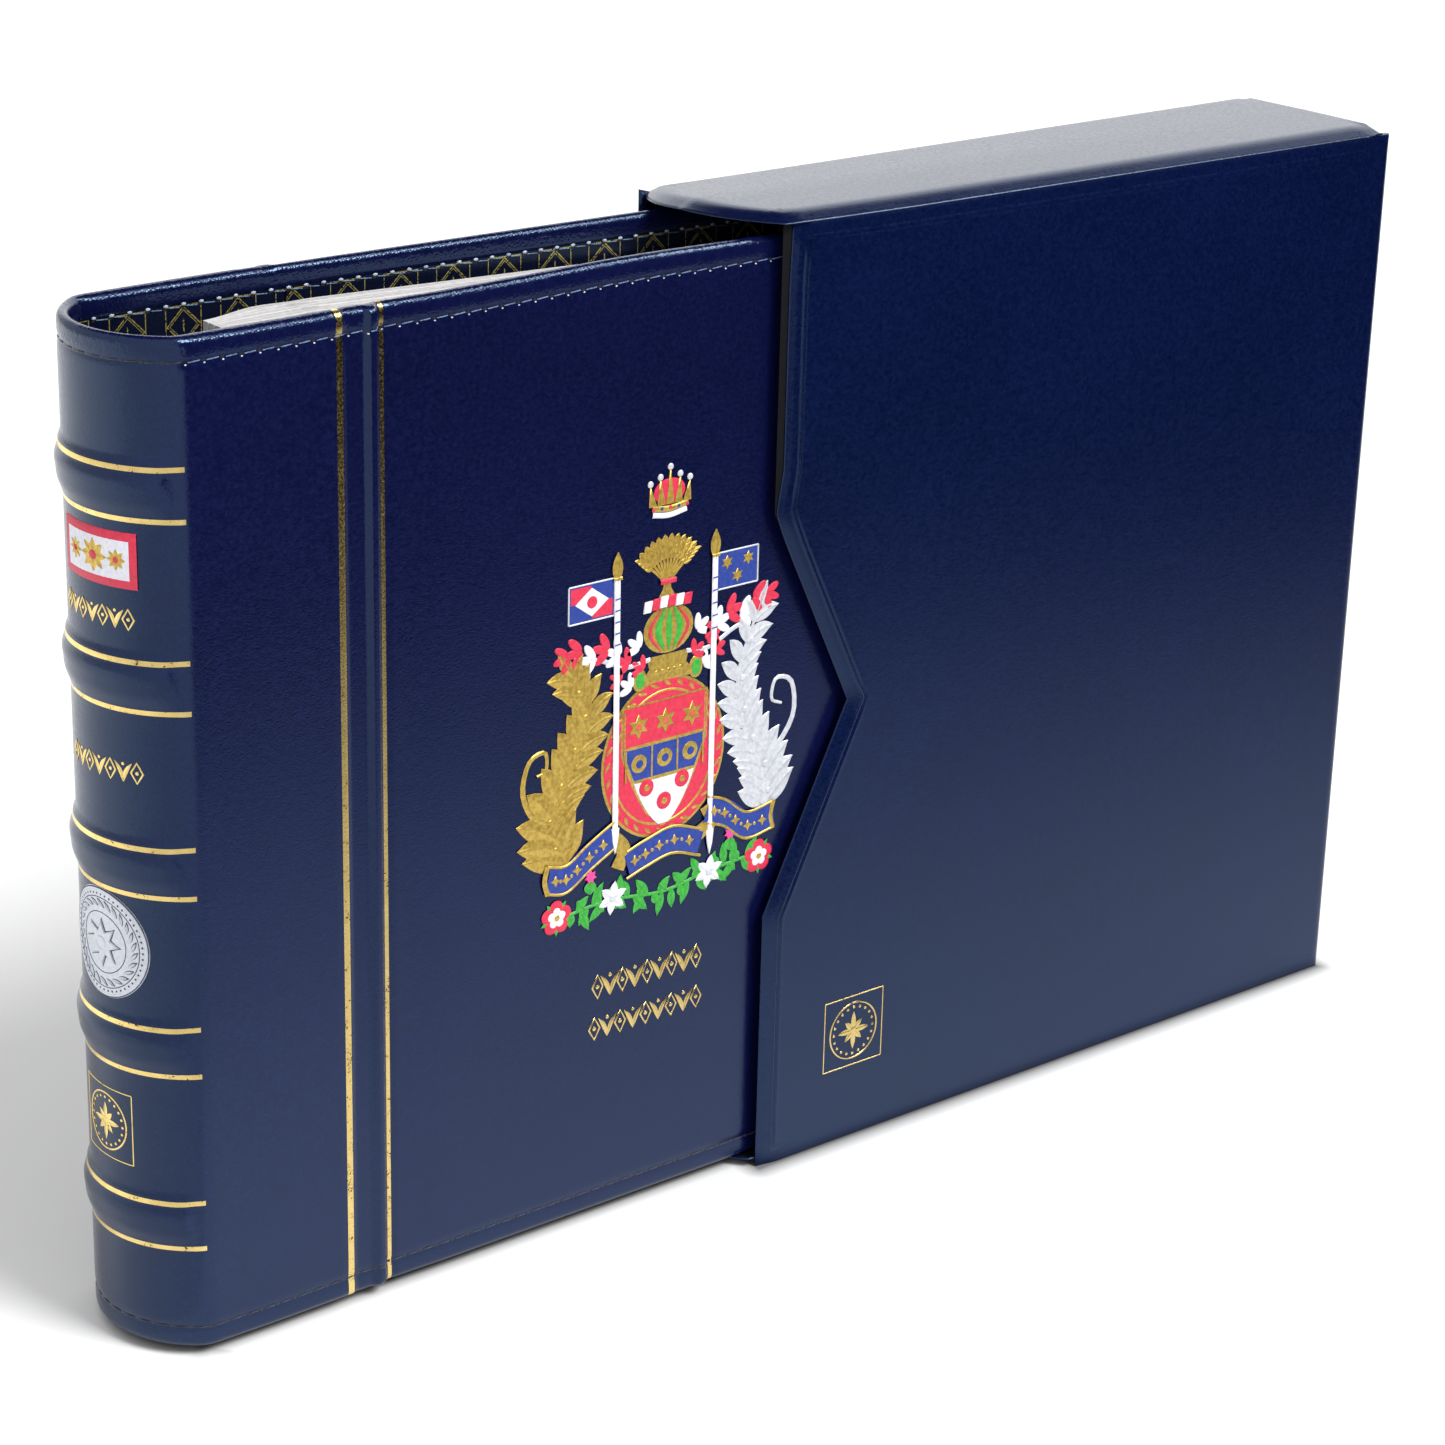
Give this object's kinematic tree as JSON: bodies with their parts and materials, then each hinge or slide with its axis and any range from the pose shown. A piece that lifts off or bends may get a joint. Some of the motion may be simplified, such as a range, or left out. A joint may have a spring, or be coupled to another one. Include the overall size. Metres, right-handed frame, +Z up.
{
  "type": "coin album with slipcase",
  "caption": "Padded leather ring-bound coin album with a rounded, banded spine, drawn partly out of a matching slipcase with a V-shaped finger notch.",
  "frame": {"origin": "centre of the slipcase's underside", "axes": "+Z up, +X towards the slipcase's closed end with the album's spine at -X, front cover facing -Y"},
  "size_m": [0.4245, 0.0588, 0.2702],
  "materials": {
    "slipcase_leatherette": "smooth semi-gloss bonded leatherette",
    "slipcase_lining": "matt black lining paper",
    "grey_board": "dense grey board",
    "cover_leather": "fine-grained semi-gloss bonded leather",
    "hinge_leather": "fine-grained inner leather",
    "printed_lining": "navy lining paper with a printed gold lattice",
    "foam_padding": "thin foam padding",
    "nickel_plate": "nickel-plated sheet steel",
    "ring_wire": "nickel-plated wire",
    "page_core": "pale page board",
    "page_card": "pale page card",
    "coin_metal": "struck coin metal",
    "clear_film": "clear rigid film"
  },
  "bodies": {
    "slipcase": {"slipcase_front_board": "grey_board", "slipcase_back_board": "grey_board", "slipcase_top_board": "grey_board", "slipcase_bottom_board": "grey_board", "slipcase_rear_board": "grey_board", "slipcase_front_covering": "slipcase_leatherette", "slipcase_back_covering": "slipcase_leatherette", "slipcase_top_covering": "slipcase_leatherette", "slipcase_bottom_covering": "slipcase_leatherette", "slipcase_rear_covering": "slipcase_leatherette", "slipcase_side_linings": "slipcase_lining", "slipcase_edge_lining": "slipcase_lining"},
    "album": {"spine_leather": "cover_leather", "hinge_leather": "cover_leather", "front_leather": "cover_leather", "back_leather": "cover_leather", "front_cover_board": "grey_board", "front_cover_padding": "foam_padding", "front_hinge_board": "grey_board", "front_lining": "printed_lining", "spine_board": "grey_board", "spine_bands": "cover_leather", "hinge_lining": "hinge_leather", "back_hinge_board": "grey_board", "back_cover_board": "grey_board", "back_cover_padding": "foam_padding", "back_lining": "printed_lining", "ring_base": "nickel_plate", "ring_cover_plate": "nickel_plate", "ring_rivets": "nickel_plate", "fixed_blade": "nickel_plate", "ring_posts": "ring_wire", "blade_pin": "ring_wire", "lever_pins": "ring_wire", "page_1_core": "page_core", "page_1_cards": "page_card", "page_1_coins": "coin_metal", "page_2_core": "page_core", "page_2_cards": "page_card", "page_2_coins": "coin_metal", "page_3_core": "page_core", "page_3_cards": "page_card", "page_3_coins": "coin_metal", "page_4_core": "page_core", "page_4_cards": "page_card", "page_4_coins": "coin_metal", "page_5_core": "page_core", "page_5_cards": "page_card", "page_5_coins": "coin_metal"},
    "ring_bows": {"ring_bows": "ring_wire"},
    "top_lever": {"top_lever": "ring_wire"},
    "bottom_lever": {"bottom_lever": "ring_wire"},
    "page_1_slide": {"page_1_slide": "clear_film"},
    "page_2_slide": {"page_2_slide": "clear_film"},
    "page_3_slide": {"page_3_slide": "clear_film"},
    "page_4_slide": {"page_4_slide": "clear_film"},
    "page_5_slide": {"page_5_slide": "clear_film"}
  },
  "joints": [
    {"name": "album_draw", "type": "slide", "parent": "slipcase", "child": "album", "axis": [-1, 0, 0], "range_m": [-0.176, 0.065]},
    {"name": "ring_open", "type": "hinge", "parent": "album", "child": "ring_bows", "pos_m": [-0.2659, 0.0164, 0.1351], "axis": [0, 0, -1], "range_deg": [0, 20]},
    {"name": "top_lever_press", "type": "hinge", "parent": "album", "child": "top_lever", "pos_m": [-0.2735, 0.0154, 0.2431], "axis": [-1, 0, 0], "range_deg": [0, 25]},
    {"name": "bottom_lever_press", "type": "hinge", "parent": "album", "child": "bottom_lever", "pos_m": [-0.2735, 0.0154, 0.0271], "axis": [1, 0, 0], "range_deg": [0, 25]},
    {"name": "page_1_slide_draw", "type": "slide", "parent": "album", "child": "page_1_slide", "axis": [1, 0, 0], "range_m": [0, 0.12]},
    {"name": "page_2_slide_draw", "type": "slide", "parent": "album", "child": "page_2_slide", "axis": [1, 0, 0], "range_m": [0, 0.12]},
    {"name": "page_3_slide_draw", "type": "slide", "parent": "album", "child": "page_3_slide", "axis": [1, 0, 0], "range_m": [0, 0.12]},
    {"name": "page_4_slide_draw", "type": "slide", "parent": "album", "child": "page_4_slide", "axis": [1, 0, 0], "range_m": [0, 0.12]},
    {"name": "page_5_slide_draw", "type": "slide", "parent": "album", "child": "page_5_slide", "axis": [1, 0, 0], "range_m": [0, 0.12]}
  ],
  "couplings": [
    {"joint": "top_lever_press", "follows": "ring_open", "ratio": 1.25},
    {"joint": "bottom_lever_press", "follows": "ring_open", "ratio": 1.25}
  ]
}
